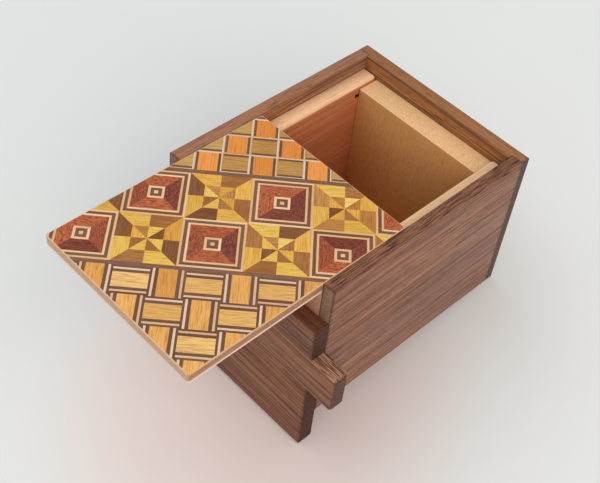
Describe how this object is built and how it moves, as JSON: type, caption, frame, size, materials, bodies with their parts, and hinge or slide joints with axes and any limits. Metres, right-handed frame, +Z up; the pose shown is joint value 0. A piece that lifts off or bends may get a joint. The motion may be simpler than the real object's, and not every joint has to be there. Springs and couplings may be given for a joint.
{
  "type": "wooden puzzle box",
  "caption": "Wooden sliding-lid puzzle box with a marquetry lid; a key strip and a dropping end panel hold the lid shut, over a light wood cavity.",
  "frame": {"origin": "centre of the closed box's underside, on the bottom panel's lower face", "axes": "+X along the box towards its fixed end, so the lid opens towards -X; +Y across the box towards the back panel, so the key strip comes out towards -Y; +Z up"},
  "size_m": [0.1344, 0.0816, 0.071],
  "materials": {
    "case_walnut": "satin",
    "end_panel_walnut": "satin",
    "lining_light_wood": "matte",
    "lining_red_wood": "matte",
    "lid_core_wood": "matte",
    "lid_base_wood": "matte",
    "lid_marquetry": "satin lacquer"
  },
  "bodies": {
    "carcass": {"front_side_panel": "case_walnut", "back_side_panel": "case_walnut", "fixed_end_panel": "case_walnut", "bottom_panel": "case_walnut", "front_inner_wall": "lining_red_wood", "back_inner_wall": "lining_red_wood", "front_inner_rail": "lining_light_wood", "back_inner_rail": "lining_light_wood", "fixed_end_block": "lining_light_wood", "slide_end_block": "lining_light_wood", "cavity_floor": "lining_light_wood"},
    "lid": {"lid_board": "lid_core_wood", "lid_marquetry": "lid_marquetry", "lid_base_sheet": "lid_base_wood"},
    "end_panel": {"end_panel_upper_strip": "end_panel_walnut", "end_panel_lower_strip": "end_panel_walnut", "end_panel_slide": "lining_light_wood"},
    "key": {"key_strip": "end_panel_walnut", "key_tongue": "lining_light_wood", "key_lock_peg": "lining_light_wood"}
  },
  "joints": [
    {"name": "lid_slide", "type": "slide", "parent": "carcass", "child": "lid", "axis": [-1, 0, 0], "range_m": [-0.048, 0.03]},
    {"name": "end_panel_drop", "type": "slide", "parent": "carcass", "child": "end_panel", "axis": [0, 0, 1], "range_m": [0, 0.01]},
    {"name": "key_slide", "type": "slide", "parent": "end_panel", "child": "key", "axis": [0, 1, 0], "range_m": [0, 0.0102]}
  ]
}
